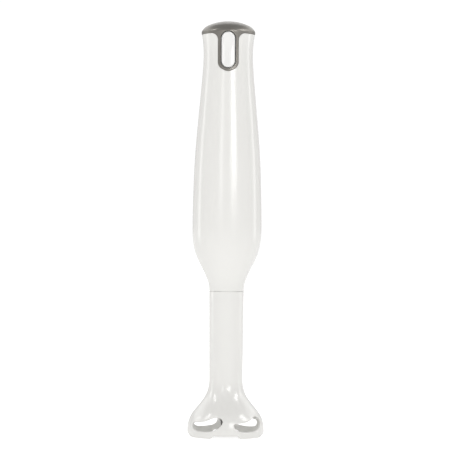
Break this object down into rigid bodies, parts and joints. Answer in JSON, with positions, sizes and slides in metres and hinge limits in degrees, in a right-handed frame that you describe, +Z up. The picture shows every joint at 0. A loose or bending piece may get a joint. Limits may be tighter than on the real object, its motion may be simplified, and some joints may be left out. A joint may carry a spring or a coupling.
{
  "type": "immersion blender",
  "caption": "Slim one-piece hand blender: waisted white body with a push button at the top, straight stem and a windowed bell guard round a two-wing blade.",
  "frame": {"origin": "on the drive axis, in the plane on which the four feet of the bell stand", "axes": "+Z up along the drive axis to the cord inlet; -Y towards the user's thumb, the side of the push button; +X to the right of that side"},
  "size_m": [0.0684, 0.0684, 0.3695],
  "materials": {
    "body_white": "satin",
    "cap_grey": "satin",
    "button_white": "gloss",
    "gland_rubber": "matte",
    "black_rubber": "matte",
    "red_rubber": "matte",
    "screw_steel": "satin",
    "dark_screw_steel": "satin",
    "clamp_plastic": "matte",
    "spring_steel": "satin",
    "switch_black": "matte",
    "switch_red": "matte",
    "tinned_brass": "satin",
    "bracket_nylon": "matte",
    "can_zinc": "satin",
    "bush_bronze": "matte",
    "magnet_ferrite": "matte",
    "end_cap_black": "matte",
    "holder_brass": "satin",
    "brush_carbon": "matte",
    "sleeve_nylon": "matte",
    "board_green": "satin",
    "rectifier_black": "matte",
    "capacitor_yellow": "satin",
    "copper": "satin",
    "lead_brown": "matte",
    "lead_blue": "matte",
    "lead_red": "matte",
    "carrier_grey": "matte",
    "felt_grey": "matte",
    "shaft_steel": "polished",
    "core_steel": "satin",
    "fan_grey": "matte",
    "coupling_nylon": "matte",
    "blade_steel": "polished",
    "hub_white": "satin"
  },
  "bodies": {
    "housing": {"stem_and_bell": "body_white", "front_shell": "body_white", "rear_shell": "body_white", "housing_screws": "dark_screw_steel", "top_cap": "cap_grey", "cord_grommet": "gland_rubber", "cord_clamp": "clamp_plastic", "clamp_screws": "screw_steel", "button_spring": "spring_steel", "switch_body": "switch_black", "switch_terminals": "tinned_brass", "switch_bracket": "bracket_nylon", "switch_pins": "screw_steel", "bracket_screws": "screw_steel", "motor_can": "can_zinc", "motor_lower_bush": "bush_bronze", "motor_upper_bush": "bush_bronze", "motor_magnets": "magnet_ferrite", "magnet_clips": "spring_steel", "motor_end_cap": "end_cap_black", "brush_holders": "holder_brass", "brush_spring_right": "spring_steel", "brush_spring_left": "spring_steel", "motor_terminals": "tinned_brass", "spade_sleeves": "sleeve_nylon", "lower_damper": "black_rubber", "upper_damper": "black_rubber", "control_board": "board_green", "bridge_rectifier": "rectifier_black", "filter_capacitor": "capacitor_yellow", "choke_coils": "copper", "board_screws": "screw_steel", "switch_lead": "lead_brown", "motor_lead_right": "lead_red", "motor_lead_left": "lead_blue", "upper_bearing_holder": "carrier_grey", "stem_upper_bush": "bush_bronze", "bearing_carrier": "carrier_grey", "carrier_circlip": "spring_steel", "carrier_o_ring": "red_rubber", "stem_lower_bush": "bush_bronze", "shaft_seal": "black_rubber", "oil_felt": "felt_grey"},
    "rotor": {"motor_shaft": "shaft_steel", "armature_core": "core_steel", "armature_windings": "copper", "commutator": "copper", "cooling_fan": "fan_grey", "coupling_upper": "coupling_nylon", "coupling_spider": "red_rubber", "coupling_lower": "coupling_nylon", "drive_shaft": "shaft_steel", "blade_hub": "hub_white", "blade": "blade_steel", "blade_nut": "blade_steel", "thrust_washer": "hub_white"},
    "button": {"power_button": "button_white"},
    "plunger": {"switch_plunger": "switch_red"},
    "brush_right_carbon": {"brush_right": "brush_carbon"},
    "brush_left_carbon": {"brush_left": "brush_carbon"}
  },
  "joints": [
    {"name": "rotor_spin", "type": "hinge", "parent": "housing", "child": "rotor", "pos_m": [0, 0, 0.1], "axis": [0, 0, 1], "continuous": true},
    {"name": "button_press", "type": "slide", "parent": "housing", "child": "button", "axis": [0, 1, 0], "range_m": [0, 0.0022], "stiffness_N_per_m": 600, "springref_m": -0.002, "deforming": ["button_spring"]},
    {"name": "plunger_press", "type": "slide", "parent": "housing", "child": "plunger", "axis": [0, 1, 0], "range_m": [0, 0.0022]},
    {"name": "brush_right_slide", "type": "slide", "parent": "housing", "child": "brush_right_carbon", "axis": [1, 0, 0], "range_m": [0, 0.0015], "stiffness_N_per_m": 200, "springref_m": -0.004, "deforming": ["brush_spring_right"]},
    {"name": "brush_left_slide", "type": "slide", "parent": "housing", "child": "brush_left_carbon", "axis": [-1, 0, 0], "range_m": [0, 0.0015], "stiffness_N_per_m": 200, "springref_m": -0.004, "deforming": ["brush_spring_left"]}
  ],
  "couplings": [
    {"joint": "plunger_press", "follows": "button_press", "ratio": 1}
  ]
}
